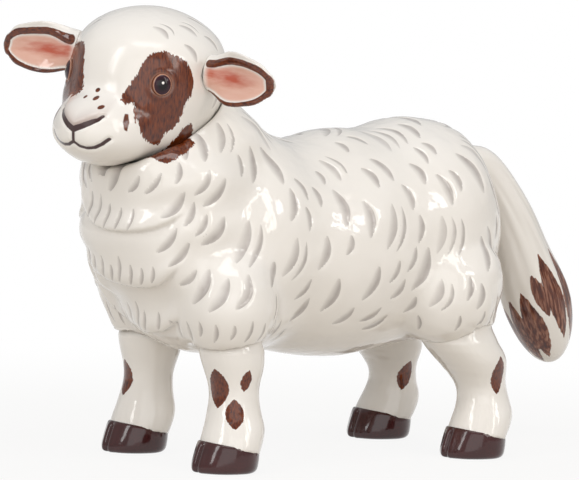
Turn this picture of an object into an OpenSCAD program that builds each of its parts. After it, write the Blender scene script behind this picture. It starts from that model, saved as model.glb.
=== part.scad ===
// Standing lamb ornament: a carved fleece body, a smooth head turned a little to its left,
// leaf-shaped ears, bead eyes, a hanging tail and four legs on dark hooves.
// Each piece is a casting of its own, joined by round spigots in sockets, a neck dowel
// and a steel rod through each leg. Millimetres, +Z up, the face looks along -Y,
// the lamb's left is +X and the hooves stand on Z = 0.

/* [Stance] */
// Distance between the front and the rear hooves, centre to centre
wheelbase = 123; // [100:1:140]
// Distance between the left and the right hooves, centre to centre
track = 66; // [56:1:80]
// Place of the middle of the four hooves along Y, with the whole figure centred on the origin
stance_y = -1.3; // [-10:0.1:10]

/* [Hooves] */
// Half width of a hoof at its top edge
hoof_half_width = 13.8; // [11:0.1:17]
// Half length of a hoof at its top edge
hoof_half_length = 14.2; // [11:0.1:17]
// Height of the top of a hoof, at its middle
hoof_height = 10.2; // [8:0.1:14]
// Slope of the top of a hoof, higher at the toe, in degrees
hoof_slope = 9.5; // [0:0.5:15]
// How far the toe stands out beyond the top edge
hoof_toe = 3.2; // [0:0.1:6]
// How far the heel is drawn in below the top edge
hoof_heel = 1.2; // [0:0.1:3]
// Depth of the cleft at the front of a hoof
hoof_cleft = 1.5; // [0:0.1:3]
// Half angle over which the cleft fades out round a hoof, in degrees
hoof_cleft_spread = 14; // [6:1:30]
// Rounding of the edge on the ground
hoof_edge = 1.2; // [0.2:0.1:3]

/* [Legs] */
// Height of the leg tops, where they seat in the fleece
leg_top = 55; // [46:0.5:70]
// Radius of a front leg where it enters the fleece
front_top_r = 13.2; // [12:0.1:16]
// Radius of a rear leg where it enters the fleece
rear_top_r = 15.5; // [12:0.1:18]
// Radius of a leg at its thinnest
leg_waist_r = 10.5; // [8:0.1:12]
// Height of the thinnest place above the ground
leg_waist_z = 29; // [22:0.5:36]
// Radius of a leg on top of its hoof
leg_ankle_r = 13; // [11:0.1:13.6]
// How far a leg reaches up inside the fleece
leg_cover = 7; // [4:0.5:12]
// How far a front leg top lies in towards the middle from its hoof
front_lean_in = 3.5; // [0:0.1:8]
// How far a front leg top lies behind its hoof
front_lean_back = 2; // [-4:0.1:8]
// How far the middle of a front leg bows back
front_bow = 2.2; // [0:0.1:5]
// How far a rear leg top lies in towards the middle from its hoof
rear_lean_in = 5; // [0:0.1:8]
// How far a rear leg top lies behind its hoof, negative where it lies ahead
rear_lean_back = -7; // [-12:0.1:4]
// How far the hock of a rear leg bows back
rear_bow = 7.5; // [0:0.1:9]

/* [Fleece] */
// Centre of the barrel from the middle of the leg tops
barrel_at = [0, 7, 32]; // [-60:0.5:60]
// Half width, length and height of the barrel
barrel_radii = [43, 72, 47]; // [30:0.5:80]
// Centre of the rump from the middle of the rear leg tops
rump_at = [0, -11, 37]; // [-60:0.5:60]
// Half width, length and height of the rump
rump_radii = [42, 41, 46]; // [30:0.5:60]
// Centre of the shoulders from the middle of the front leg tops
shoulder_at = [0, 19, 35]; // [-60:0.5:60]
// Half width, length and height of the shoulders
shoulder_radii = [42, 42, 45]; // [30:0.5:60]
// Centre of the neck from the middle of the front leg tops
neck_at = [0, -2, 70.5]; // [-60:0.5:90]
// Half width, length and height of the neck
neck_radii = [32, 29.5, 23]; // [20:0.5:50]
// Number of rolls of fleece down the chest
roll_count = 4; // [3:1:5]
// Centre of the top roll from the middle of the front leg tops
roll_at = [0, -13.5, 60]; // [-60:0.5:90]
// Height from one roll to the next
roll_pitch = 17.5; // [14:0.5:22]
// How far the lowest roll lies behind the top one
roll_set_back = 21; // [0:0.5:24]
// Half width, length and height of a roll
roll_radii = [38, 36, 19]; // [14:0.5:50]
// Centre of the tuft round a front leg, from the middle of that leg's top
cuff_at = [1, -3, 11]; // [-20:0.5:30]
// Half width, length and height of the tuft round a front leg
cuff_radii = [19, 20, 22]; // [16:0.5:32]
// Centre of a thigh, from the middle of that rear leg's top
thigh_at = [1, -6, 13]; // [-20:0.5:30]
// Half width, length and height of a thigh
thigh_radii = [20, 24, 24]; // [16:0.5:36]
// How sharply the masses of the form meet, higher for deeper folds
fold_sharpness = 11; // [6:0.5:20]
// How sharply the collar of the fleece ends at the head, lower for a rounder edge
collar_softness = 4; // [2:0.5:12]

/* [Head] */
// Centre of the head from the centre of the neck
head_offset = [-3, -22.5, 28]; // [-60:0.5:60]
// Turn of the head to its left, in degrees
head_turn = 25; // [-25:0.5:25]
// Roll of the head, left side down, in degrees
head_roll = 4.5; // [-10:0.5:10]
// Half width, length and height of the skull
skull_radii = [32.5, 33, 31]; // [24:0.5:42]
// Centre of the jaw from the centre of the head
jaw_at = [0, -9, -15.5]; // [-30:0.5:30]
// Half width, length and height of the jaw
jaw_radii = [26.5, 27, 18.5]; // [14:0.5:36]
// Centre of the muzzle from the centre of the head
muzzle_at = [0, -25.5, -19]; // [-40:0.5:30]
// Half width, length and height of the muzzle
muzzle_radii = [20.5, 24, 16.5]; // [12:0.5:30]
// Centre of the wool cap on the crown from the centre of the head
crown_at = [0, 7, 5]; // [-30:0.5:30]
// Half width, length and height of the wool cap
crown_radii = [28, 28.5, 25.5]; // [16:0.5:40]
// Radius of the dowel in the neck
dowel_r = 7; // [4:0.1:10]
// Length of the dowel in the neck
dowel_length = 32; // [20:1:44]

/* [Ears] */
// Length of an ear outside the head
ear_length = 36.5; // [36:1:64]
// Half height of an ear at its widest
ear_half_height = 11; // [7:0.1:14]
// Half height of an ear at the head
ear_root_half_height = 7; // [5:0.1:9]
// Share of the length of an ear at which it is widest
ear_widest_share = 0.43; // [0.2:0.01:0.6]
// Thickness of an ear at the head
ear_root_thickness = 9; // [7:0.1:12]
// Thickness of the leaf of an ear
ear_thickness = 4.5; // [3:0.1:7]
// Depth of the hollow of an ear
ear_hollow = 5; // [0:0.1:8]
// Height of the ear roots above the centre of the head
ear_height = 8.5; // [-10:0.5:14]
// How far the ear roots lie behind the centre of the head
ear_set_back = 4; // [-10:0.5:12]
// Droop of an ear below the level, in degrees
ear_droop = 2; // [-20:0.5:30]
// Sweep of an ear towards the face, in degrees
ear_sweep = 9; // [-20:0.5:30]
// Radius of the spigot of an ear
ear_spigot_r = 3; // [2:0.1:4]
// Length of the spigot of an ear
ear_spigot_length = 9; // [5:0.5:14]

/* [Eyes] */
// Radius of an eye bead
eye_r = 4.2; // [2.5:0.1:6]
// Height of the dome of an eye bead
eye_dome = 1.5; // [0.8:0.1:2.2]
// Depth of the seat of an eye bead below the face
eye_seat = 3; // [2:0.1:5]
// Radius of the stem of an eye bead
eye_stem_r = 1.4; // [0.8:0.1:2]
// Length of the stem of an eye bead
eye_stem_length = 6; // [3:0.5:10]
// Turn of an eye from the side towards the nose, in degrees
eye_turn = 45; // [0:1:60]
// Rise of an eye above the level of the centre of the head, in degrees
eye_rise = 3.5; // [-15:0.5:20]

/* [Tail] */
// Rise of the tail root round the rump, from level to straight up, in degrees
tail_seat_rise = 38; // [20:1:60]
// Rise of the straight root of the tail, in degrees
tail_root_rise = 8; // [-10:1:40]
// Depth of the seat of the tail below the fleece
tail_sink = 5; // [4:0.1:10]
// Length of the straight root of the tail, from its seat
tail_root_length = 7; // [5:0.1:14]
// Radius of the tail at its root
tail_root_r = 7.6; // [6.5:0.1:10]
// Radius of the tail at its fullest
tail_full_r = 15; // [10:0.1:18]
// Share of the hanging length at which the tail is fullest
tail_full_share = 0.76; // [0.5:0.01:0.9]
// How far the tip of the tail lies behind its root
tail_reach = 46.5; // [20:0.5:70]
// How far the tip of the tail lies below its root
tail_drop = 86; // [60:0.5:95]
// Length of the bend that leaves the root
tail_crook = 13; // [4:0.5:24]
// Length of the straight end of the tail
tail_end_length = 48; // [30:0.5:64]
// Lean of the end of the tail away from straight down, in degrees
tail_end_lean = 18; // [0:1:40]
// Flare of the fleece round the tail root, in degrees
tail_flare = 14; // [5:0.5:30]
// Radius of the spigot of the tail
tail_spigot_r = 4.5; // [3:0.1:6]
// Length of the spigot of the tail
tail_spigot_length = 12; // [6:0.5:20]

/* [Joints] */
// Radius of the spigot on top of a leg
leg_spigot_r = 9; // [6:0.1:11]
// Length of the spigot on top of a leg
leg_spigot_length = 10; // [6:0.5:16]
// Radius of the steel rod in a leg
rod_r = 2; // [1:0.1:3]
// Depth of the rod in its hoof
rod_in_hoof = 6.5; // [4:0.1:7.5]
// Length of the rod beyond the spigot, inside the fleece
rod_in_body = 12; // [6:0.5:20]
// Play round spigots, rods and dowels
fit_gap = 0.15; // [0.05:0.01:0.3]
// Play round the shoulders of pieces that enter the fleece
seat_gap = 0.4; // [0.2:0.05:0.8]
// Play between the head and the fleece that cups it
cup_gap = 0.7; // [0.5:0.05:1.2]
// Play at the blind end of a socket
end_gap = 0.5; // [0.2:0.1:1]

/* [Hidden] */

$fn = 48;
left = 1;
right = -1;
fleece_white = "#ebe6de";
hoof_brown = "#482c2c";
ear_pink = "#e3a594";
bead_brown = "#2a1513";
steel_grey = "#9a9da1";
beech_tan = "#c8a573";
reach = 200;
sink = 1;
search_steps = 15;
// Turn that keeps the seam of a round surface off the corners of the skin round it
seam_turn = 17;

// Shape of an ear past its widest: how full it stays, how it draws in, its tip and its edge
ear_tip_bulge = 1.9;
ear_tip_taper = 0.8;
ear_tip_r = 0.3;
ear_edge_share = 0.25;
// Ends of the line that the skin of the head is measured from, as shares of muzzle and skull
head_spine_share = 0.72;
head_spine_back = 0.12;
// How late the tail swells, and how blunt its tip is
tail_swell_lag = 1.9;
tail_tip_share = 0.0004;

// Counts of rings and sides of the modelled skins
fleece_rings = [20, 18, 14];
fleece_sides = 60;
head_rings = [10, 6, 10];
head_sides = 40;
limb_sides = 28;
leg_rings = 12;
hoof_rings = 4;
ear_rings = 14;
tail_rings = 18;

// A leg is [lean in, lean back, bow, Y of its hoof, radius of its top]
front_y = stance_y - wheelbase / 2;
rear_y = stance_y + wheelbase / 2;
front_leg = [front_lean_in, front_lean_back, front_bow, front_y, front_top_r];
rear_leg = [rear_lean_in, rear_lean_back, rear_bow, rear_y, rear_top_r];
function hoof_place(leg, side) = [side * track / 2, leg[3], 0];
function leg_top_place(leg, side) = [side * (track / 2 - leg[0]), leg[3] + leg[1], leg_top];

// Masses of the fleece, each [centre, radii]
front_tops = [0, front_y + front_lean_back, leg_top];
rear_tops = [0, rear_y + rear_lean_back, leg_top];
neck_centre = front_tops + neck_at;
rump_centre = rear_tops + rump_at;
shoulder_centre = front_tops + shoulder_at;
fleece_masses = concat(
    [
        [(front_tops + rear_tops) / 2 + barrel_at, barrel_radii],
        [rump_centre, rump_radii],
        [shoulder_centre, shoulder_radii],
        [neck_centre, neck_radii],
    ],
    [
        for (i = [0:roll_count - 1])
            let (down = i / (roll_count - 1))
            [front_tops + roll_at + [0, roll_set_back * down * down, -i * roll_pitch], roll_radii]
    ],
    [
        for (side = [left, right])
            [leg_top_place(front_leg, side) + [side * cuff_at.x, cuff_at.y, cuff_at.z], cuff_radii]
    ],
    [
        for (side = [left, right])
            [leg_top_place(rear_leg, side) + [side * thigh_at.x, thigh_at.y, thigh_at.z], thigh_radii]
    ]
);

// Masses of the head, in the head's own frame
head_masses = [
    [[0, 0, 0], skull_radii],
    [jaw_at, jaw_radii],
    [muzzle_at, muzzle_radii],
    [crown_at, crown_radii],
];
head_centre = neck_centre + head_offset;
cup_masses = [for (m = head_masses) [m[0], m[1] + cup_gap * [1, 1, 1]]];
// Rows are the directions of the head's own axes
head_axes = [
    [cos(head_turn) * cos(head_roll), sin(head_turn) * cos(head_roll), -sin(head_roll)],
    [-sin(head_turn), cos(head_turn), 0],
    [cos(head_turn) * sin(head_roll), sin(head_turn) * sin(head_roll), cos(head_roll)],
];
function in_head_frame(p) = head_axes * (p - head_centre);

// Soft sum of masses at a point: positive inside the blended form
function blend(p, masses) =
    let (
        values = [
            for (m = masses)
                let (q = [for (i = [0:2]) (p[i] - m[0][i]) / m[1][i]])
                1 - q * q
        ],
        peak = max(values)
    )
    peak + ln([for (v = values) exp(fold_sharpness * (v - peak))] * [for (v = values) 1]) / fold_sharpness;

// The lesser of two values, with a rounded change from one to the other
function soft_least(a, b) = -ln(exp(-collar_softness * a) + exp(-collar_softness * b)) / collar_softness;

head_inside = function (p) blend(p, head_masses) > 0;
fleece_inside = function (p) soft_least(blend(p, fleece_masses), -blend(in_head_frame(p), cup_masses)) > 0;

// Distance along a ray from inside a form to its skin, by halving the interval
function skin_distance(from, along, inside, near = 0, far = reach, steps = search_steps) =
    steps == 0
        ? (near + far) / 2
        : let (middle = (near + far) / 2)
          inside(from + middle * along)
              ? skin_distance(from, along, inside, middle, far, steps - 1)
              : skin_distance(from, along, inside, near, middle, steps - 1);
function skin_point(from, along, inside) = from + skin_distance(from, along, inside) * along;

// Skin of a form round a spine in the plane X = 0: a fan of rings over each end and rings along it
function skin_rings(front, rear, counts, sides, inside) =
    let (
        axis = (front - rear) / norm(front - rear),
        across = [1, 0, 0],
        upward = cross(across, -axis),
        stations = concat(
            [for (i = [1:counts[0]]) [front, 90 * i / counts[0]]],
            [for (i = [1:counts[1]]) [front + (rear - front) * i / counts[1], 90]],
            [for (i = [1:counts[2] - 1]) [rear, 90 + 90 * i / counts[2]]]
        )
    )
    concat(
        [[skin_point(front, axis, inside)]],
        [
            for (s = stations)
                [
                    for (i = [0:sides - 1])
                        let (
                            turn = 360 * i / sides,
                            spoke = cos(turn) * across + sin(turn) * upward
                        )
                        skin_point(s[0], cos(s[1]) * axis + sin(s[1]) * spoke, inside)
                ]
        ],
        [[skin_point(rear, -axis, inside)]]
    );

// Closed skin from a pole, rings of equal count and a second pole
module poled_skin(rings) {
    sides = len(rings[1]);
    last = len(rings) - 2;
    points = [for (ring = rings) for (p = ring) p];
    end = len(points) - 1;
    function at(ring, i) = 1 + (ring - 1) * sides + (sides - i % sides) % sides;
    faces = concat(
        [for (i = [0:sides - 1]) [0, at(1, i), at(1, i + 1)]],
        [for (r = [1:last - 1]) for (i = [0:sides - 1]) [at(r, i), at(r + 1, i), at(r + 1, i + 1)]],
        [for (r = [1:last - 1]) for (i = [0:sides - 1]) [at(r, i), at(r + 1, i + 1), at(r, i + 1)]],
        [for (i = [0:sides - 1]) [end, at(last, i + 1), at(last, i)]]
    );
    polyhedron(points, faces);
}

// Closed skin from rings of equal count with a flat face at each end
module ringed_skin(rings) {
    sides = len(rings[0]);
    last = len(rings) - 1;
    points = [for (ring = rings) for (p = ring) p];
    function at(ring, i) = ring * sides + i % sides;
    faces = concat(
        [[for (i = [0:sides - 1]) at(0, i)]],
        [for (r = [0:last - 1]) for (i = [0:sides - 1]) [at(r, i), at(r + 1, i), at(r + 1, i + 1)]],
        [for (r = [0:last - 1]) for (i = [0:sides - 1]) [at(r, i), at(r + 1, i + 1), at(r, i + 1)]],
        [[for (i = [0:sides - 1]) at(last, sides - 1 - i)]]
    );
    polyhedron(points, faces);
}

function ease(t) = (1 - cos(180 * max(0, min(1, t)))) / 2;
function mix(a, b, t) = a + (b - a) * t;
function turned(i) = 360 * i / limb_sides;

// Turns +Z to a direction
module aim(along) {
    rotate([0, acos(along.z / norm(along)), atan2(along.y, along.x)])
        children();
}

// Room for a seated piece whose axis is +Z: its shoulder rests on Z = 0 and its spigot goes below
module seat_cut(shoulder_r, spigot_r, spigot_length, clear, flare = 0) {
    cylinder(r1 = shoulder_r, r2 = shoulder_r + clear * tan(flare), h = clear);
    translate([0, 0, -spigot_length - end_gap])
        cylinder(r = spigot_r + fit_gap, h = spigot_length + end_gap + sink);
}

// Legs and hooves
function leg_radius(z, top_r) =
    z < leg_waist_z
        ? mix(leg_ankle_r, leg_waist_r, ease((z - hoof_height) / (leg_waist_z - hoof_height)))
        : mix(leg_waist_r, top_r, ease((z - leg_waist_z) / (leg_top - leg_cover - leg_waist_z)));
function leg_ring(leg, side, t) =
    let (
        z = mix(hoof_height, leg_top, t),
        r = leg_radius(z, leg[4]),
        risen = min(1, (z - hoof_height) / (leg_top - leg_cover - hoof_height)),
        middle = mix(hoof_place(leg, side), leg_top_place(leg, side), risen),
        slope = tan(hoof_slope * (1 - ease(risen))),
        bow = leg[2] * sin(180 * risen)
    )
    [
        for (i = [0:limb_sides - 1])
            let (across = r * cos(turned(i)), along = r * sin(turned(i)))
            [middle.x + across, middle.y + bow + along, z - along * slope]
    ];

function rod_foot(leg, side) = hoof_place(leg, side) + [0, 0, hoof_height];
function rod_axis(leg, side) =
    let (run = leg_top_place(leg, side) - rod_foot(leg, side))
    run / norm(run);
rod_rise = leg_top + leg_spigot_length + rod_in_body - hoof_height;

module rod_shape(leg, side, play = 0) {
    axis = rod_axis(leg, side);
    translate(rod_foot(leg, side) - rod_in_hoof * axis)
        aim(axis)
            rotate(seam_turn)
                cylinder(r = rod_r + play, h = rod_in_hoof + rod_rise / axis.z);
}

module rod(leg, side) {
    color(steel_grey)
        rod_shape(leg, side);
}

module leg(leg, side) {
    color(fleece_white)
        difference() {
            union() {
                ringed_skin([for (i = [0:leg_rings]) leg_ring(leg, side, i / leg_rings)]);
                translate(leg_top_place(leg, side) - [0, 0, sink])
                    cylinder(r = leg_spigot_r, h = leg_spigot_length + sink);
            }
            rod_shape(leg, side, fit_gap);
        }
}

module leg_seat(leg, side) {
    translate(leg_top_place(leg, side)) {
        translate([0, 0, -leg_top])
            cylinder(r = leg[4] + seat_gap, h = leg_top);
        translate([0, 0, -sink])
            cylinder(r = leg_spigot_r + fit_gap, h = leg_spigot_length + end_gap + sink);
    }
    rod_shape(leg, side, fit_gap);
}

// A ring of a hoof at a share of its height, with the cleft at the toe
function hoof_ring(leg, side, share, inset) =
    [
        for (i = [0:limb_sides - 1])
            let (
                off_toe = (turned(i) - 270) / hoof_cleft_spread,
                cleft = hoof_cleft * exp(-off_toe * off_toe),
                x = (hoof_half_width - inset) * cos(turned(i)),
                y = (hoof_half_length - inset - cleft) * sin(turned(i)),
                toe = hoof_toe * (1 - share) * max(0, -sin(turned(i))),
                heel = hoof_heel * (1 - share) * max(0, sin(turned(i)))
            )
            hoof_place(leg, side) + [x, y - toe - heel, share * (hoof_height - y * tan(hoof_slope))]
    ];

module hoof(leg, side) {
    edge_share = hoof_edge / hoof_height;
    color(hoof_brown)
        difference() {
            ringed_skin(concat(
                [hoof_ring(leg, side, 0, hoof_edge), hoof_ring(leg, side, edge_share / 3, hoof_edge / 3)],
                [for (i = [0:hoof_rings]) hoof_ring(leg, side, mix(edge_share, 1, i / hoof_rings), 0)]
            ));
            rod_shape(leg, side, fit_gap);
        }
}

// Head, in its own frame: the origin is the centre of the skull
module in_head() {
    translate(head_centre)
        rotate([0, head_roll, head_turn])
            children();
}

dowel_axis = in_head_frame(shoulder_centre) / norm(in_head_frame(shoulder_centre));
dowel_middle = skin_distance([0, 0, 0], dowel_axis, head_inside);

module dowel_shape(play = 0) {
    aim(dowel_axis)
        translate([0, 0, dowel_middle - dowel_length / 2])
            cylinder(r = dowel_r + play, h = dowel_length);
}

module neck_dowel() {
    color(beech_tan)
        in_head()
            dowel_shape();
}

// Ears lie along +Z from their seat, with the hollow towards -Y
ear_axis = [cos(ear_droop) * cos(ear_sweep), -cos(ear_droop) * sin(ear_sweep), -sin(ear_droop)];
ear_line = [0, ear_set_back, ear_height];
ear_seat_r = max(ear_root_half_height, ear_root_thickness / 2) + seat_gap;
ear_seat_far = skin_distance(ear_line, ear_axis, head_inside)
    - ear_seat_r * ear_seat_r / (2 * skull_radii.z) - seat_gap;
module on_ear_seat(side) {
    mirror([side == right ? 1 : 0, 0, 0])
        translate(ear_line + ear_seat_far * ear_axis)
            rotate([0, 90 + ear_droop, -ear_sweep])
                children();
}

function ear_ring(t) =
    let (
        opened = ease(t / ear_widest_share),
        past = max(0, t - ear_widest_share) / (1 - ear_widest_share),
        half_height = past == 0
            ? mix(ear_root_half_height, ear_half_height, opened)
            : max(ear_tip_r, ear_half_height * pow(1 - pow(past, ear_tip_bulge), ear_tip_taper)),
        grown = half_height / ear_half_height,
        thickness = mix(ear_root_thickness, ear_thickness, opened) * min(1, ear_edge_share + grown),
        hollow = ear_hollow * grown * opened
    )
    [
        for (i = [0:limb_sides - 1])
            [
                half_height * cos(turned(i)),
                thickness / 2 * sin(turned(i)) - hollow * cos(turned(i)) * cos(turned(i)),
                ear_length * t,
            ]
    ];

module ear(side) {
    color(ear_pink)
        in_head()
            on_ear_seat(side) {
                ringed_skin([for (i = [0:ear_rings]) ear_ring(sin(90 * i / ear_rings))]);
                translate([0, 0, -ear_spigot_length])
                    cylinder(r = ear_spigot_r, h = ear_spigot_length + sink);
            }
}

// Eyes are domed beads on stems, along +Z from the face
eye_axis = [cos(eye_rise) * cos(eye_turn), -cos(eye_rise) * sin(eye_turn), sin(eye_rise)];
eye_far = skin_distance([0, 0, 0], eye_axis, head_inside);
module on_eye_seat(side) {
    mirror([side == right ? 1 : 0, 0, 0])
        translate(eye_far * eye_axis)
            aim(eye_axis)
                children();
}

module eye(side) {
    dome_r = (eye_r * eye_r + eye_dome * eye_dome) / (2 * eye_dome);
    color(bead_brown)
        in_head()
            on_eye_seat(side) {
                translate([0, 0, -eye_seat])
                    cylinder(r = eye_r, h = eye_seat);
                intersection() {
                    translate([0, 0, eye_dome - dome_r])
                        sphere(r = dome_r);
                    translate([0, 0, -eye_seat / 2])
                        cylinder(r = eye_r, h = eye_seat + eye_dome);
                }
                translate([0, 0, -eye_seat - eye_stem_length])
                    cylinder(r = eye_stem_r, h = eye_stem_length + sink);
            }
}

module head() {
    spine_front = muzzle_at * head_spine_share;
    spine_rear = [0, skull_radii.y * head_spine_back, 0];
    color(fleece_white)
        in_head()
            difference() {
                poled_skin(skin_rings(spine_front, spine_rear, head_rings, head_sides, head_inside));
                dowel_shape(fit_gap);
                for (side = [left, right]) {
                    on_ear_seat(side)
                        seat_cut(ear_seat_r, ear_spigot_r, ear_spigot_length, ear_length);
                    on_eye_seat(side)
                        translate([0, 0, -eye_seat])
                            seat_cut(eye_r + fit_gap, eye_stem_r, eye_stem_length, reach);
                }
            }
}

// Tail: a straight root on its seat, then a curve that bends down and swells
tail_seat_way = [0, cos(tail_seat_rise), sin(tail_seat_rise)];
tail_axis = [0, cos(tail_root_rise), sin(tail_root_rise)];
tail_seat = skin_point(rump_centre, tail_seat_way, fleece_inside) - tail_sink * tail_axis;
tail_start = tail_seat + tail_root_length * tail_axis;
tail_tip = tail_start + [0, tail_reach, -tail_drop];
tail_bends = [
    tail_start,
    tail_start + tail_crook * tail_axis,
    tail_tip - tail_end_length * [0, sin(tail_end_lean), -cos(tail_end_lean)],
    tail_tip,
];
function tail_path(t) =
    pow(1 - t, 3) * tail_bends[0] + 3 * t * pow(1 - t, 2) * tail_bends[1]
    + 3 * t * t * (1 - t) * tail_bends[2] + pow(t, 3) * tail_bends[3];
function tail_radius(t) =
    t < tail_full_share
        ? mix(tail_root_r, tail_full_r, ease(pow(t / tail_full_share, tail_swell_lag)))
        : tail_full_r * sqrt(max(tail_tip_share, 1 - pow((t - tail_full_share) / (1 - tail_full_share), 2)));
function tail_ring(middle, along, r) =
    let (outward = [0, -along.z, along.y] / norm(along))
    [for (i = [0:limb_sides - 1]) middle + r * (cos(turned(i)) * [-1, 0, 0] + sin(turned(i)) * outward)];

module tail() {
    step = 0.002;
    color(fleece_white) {
        ringed_skin(concat(
            [tail_ring(tail_seat, tail_axis, tail_root_r)],
            [
                for (i = [0:tail_rings])
                    let (t = sin(90 * i / tail_rings))
                    tail_ring(tail_path(t), tail_path(min(1, t + step)) - tail_path(t - step), tail_radius(t))
            ]
        ));
        translate(tail_seat)
            aim(tail_axis)
                translate([0, 0, -tail_spigot_length])
                    cylinder(r = tail_spigot_r, h = tail_spigot_length + sink);
    }
}

module fleece_body() {
    color(fleece_white)
        difference() {
            poled_skin(skin_rings(shoulder_centre, rump_centre, fleece_rings, fleece_sides, fleece_inside));
            for (side = [left, right]) {
                leg_seat(front_leg, side);
                leg_seat(rear_leg, side);
            }
            in_head()
                dowel_shape(fit_gap);
            translate(tail_seat)
                aim(tail_axis)
                    seat_cut(
                        tail_root_r + seat_gap, tail_spigot_r, tail_spigot_length,
                        tail_reach, tail_flare
                    );
        }
}

fleece_body();
head();
neck_dowel();
ear(left);  // left_ear
ear(right);  // right_ear
eye(left);  // left_eye
eye(right);  // right_eye
tail();
leg(front_leg, left);  // front_left_leg
leg(front_leg, right);  // front_right_leg
leg(rear_leg, left);  // rear_left_leg
leg(rear_leg, right);  // rear_right_leg
hoof(front_leg, left);  // front_left_hoof
hoof(front_leg, right);  // front_right_hoof
hoof(rear_leg, left);  // rear_left_hoof
hoof(rear_leg, right);  // rear_right_hoof
rod(front_leg, left);  // front_left_rod
rod(front_leg, right);  // front_right_rod
rod(rear_leg, left);  // rear_left_rod
rod(rear_leg, right);  // rear_right_rod
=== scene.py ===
# A standing lamb ornament, cast in pieces, painted by hand and sealed under gloss lacquer.
# Sizes are in millimetres unless a name says otherwise; the face looks along -Y, left is +X.
from math import cos, pi, radians, sin

import bpy
import numpy as np
from mathutils import Matrix, Vector
from mathutils.bvhtree import BVHTree


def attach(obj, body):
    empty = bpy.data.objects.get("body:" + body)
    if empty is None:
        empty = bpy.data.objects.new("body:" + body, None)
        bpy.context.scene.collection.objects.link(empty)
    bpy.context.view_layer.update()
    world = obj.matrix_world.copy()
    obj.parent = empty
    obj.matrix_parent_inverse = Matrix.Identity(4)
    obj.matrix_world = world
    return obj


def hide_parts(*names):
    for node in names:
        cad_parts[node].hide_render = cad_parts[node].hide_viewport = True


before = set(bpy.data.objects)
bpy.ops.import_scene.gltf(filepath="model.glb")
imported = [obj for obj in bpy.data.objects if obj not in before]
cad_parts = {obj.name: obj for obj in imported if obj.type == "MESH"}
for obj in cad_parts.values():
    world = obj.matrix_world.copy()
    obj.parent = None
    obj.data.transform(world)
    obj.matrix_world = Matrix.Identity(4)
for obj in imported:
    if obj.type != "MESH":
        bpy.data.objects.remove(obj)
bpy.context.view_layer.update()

# Fleece body: a solid resin casting of barrel, rump, shoulders, neck, chest rolls and thighs.
# The wool is cut with a curved gouge, with grey painted into the cuts as their shade,
# and sealed under clear gloss lacquer. The head, the tail and the legs plug into it.
mm = 0.001
head_centre = Vector((-3, -85.3, 153.5))
head_turn = Matrix.Rotation(radians(25), 4, "Z") @ Matrix.Rotation(radians(4.5), 4, "Y")
skull_half_sizes = (32.5, 33, 31)
chest_axis = -50  # where along the body the upright middle line of the chest stands
hems = [
    # degrees round the chest from its front to the lamb's left, heights of the hem there
    (
        (-62, -50, -38, -26, -14, -7, 0, 9, 16, 23, 29, 34, 42),
        (103, 97, 95, 97, 103, 99, 96, 95, 95, 95.7, 97, 99, 104),
    ),
    (
        (-66, -54, -42, -30, -20, -13, -4, 5, 14, 23, 29, 33, 40),
        (80, 72, 68, 71, 80, 77, 74.2, 73, 72.4, 72.6, 74.2, 77, 83),
    ),
    (
        (-60, -45, -39, -35, -20, -2, 11, 22, 30, 38),
        (70, 66, 57, 54, 53, 53, 53, 54.2, 57, 62),
    ),
]


def select_only(piece):
    bpy.ops.object.select_all(action="DESELECT")
    piece.select_set(True)
    bpy.context.view_layer.objects.active = piece


def ease(piece, factor, rounds, group=""):
    """Relaxes a skin by a factor, so many times over, all of it or where a group holds it."""
    select_only(piece)
    eased = piece.modifiers.new("eased", "SMOOTH")
    eased.factor = factor
    eased.iterations = rounds
    eased.vertex_group = group
    bpy.ops.object.modifier_apply(modifier=eased.name)


def ease_where(piece, name, weights, rounds):
    """Relaxes a skin only as far as the weights of its points say."""
    group = piece.vertex_groups.new(name=name)
    for index in np.flatnonzero(weights > 0.01):
        group.add([int(index)], float(weights[index]), "REPLACE")
    ease(piece, 0.5, rounds, name)


def one_skin(piece, grain, easing):
    """Runs all of a piece's lumps into one even skin and eases the folds between them."""
    select_only(piece)
    skin = piece.modifiers.new("skin", "REMESH")
    skin.mode = "VOXEL"
    skin.voxel_size = grain * mm
    bpy.ops.object.modifier_apply(modifier=skin.name)
    ease(piece, 0.5, easing)
    bpy.ops.object.shade_smooth()


def casting(name, node, grain, easing, plugs=()):
    """Copies the solid of a piece, with any hole plugged, and gives it one even skin."""
    piece = bpy.data.objects.new(name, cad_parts[node].data.copy())
    bpy.context.collection.objects.link(piece)
    piece.data.materials.clear()
    select_only(piece)
    bpy.ops.object.mode_set(mode="EDIT")
    bpy.ops.mesh.select_all(action="SELECT")
    bpy.ops.mesh.remove_doubles(threshold=0.005 * mm)
    bpy.ops.object.mode_set(mode="OBJECT")
    for plug in plugs:
        plug.select_set(True)
    if plugs:
        bpy.ops.object.join()
    one_skin(piece, grain, easing)
    return piece


def points_of(piece):
    flat = np.empty(len(piece.data.vertices) * 3)
    piece.data.vertices.foreach_get("co", flat)
    return flat.reshape(-1, 3) / mm


def normals_of(piece):
    flat = np.empty(len(piece.data.vertices) * 3)
    piece.data.vertices.foreach_get("normal", flat)
    return flat.reshape(-1, 3)


def move_points(piece, points):
    piece.data.vertices.foreach_set("co", (points * mm).ravel())
    piece.data.update()


def keep_on_skin(piece, name, values):
    """Keeps a value for each point of a skin, for its material to read."""
    held = piece.data.attributes.new(name, "FLOAT", "POINT")
    held.data.foreach_set("value", np.asarray(values, dtype=np.float32))


def smooth_step(value, start, end):
    """Climbs smoothly from 0 at the start to 1 at the end."""
    share = np.clip((value - start) / (end - start), 0, 1)
    return share * share * (3 - 2 * share)


def swell(value, middle, spread):
    """A soft hump: 1 at its middle, dying away on both sides over its spread."""
    return np.exp(-(((value - middle) / spread) ** 2))


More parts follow.
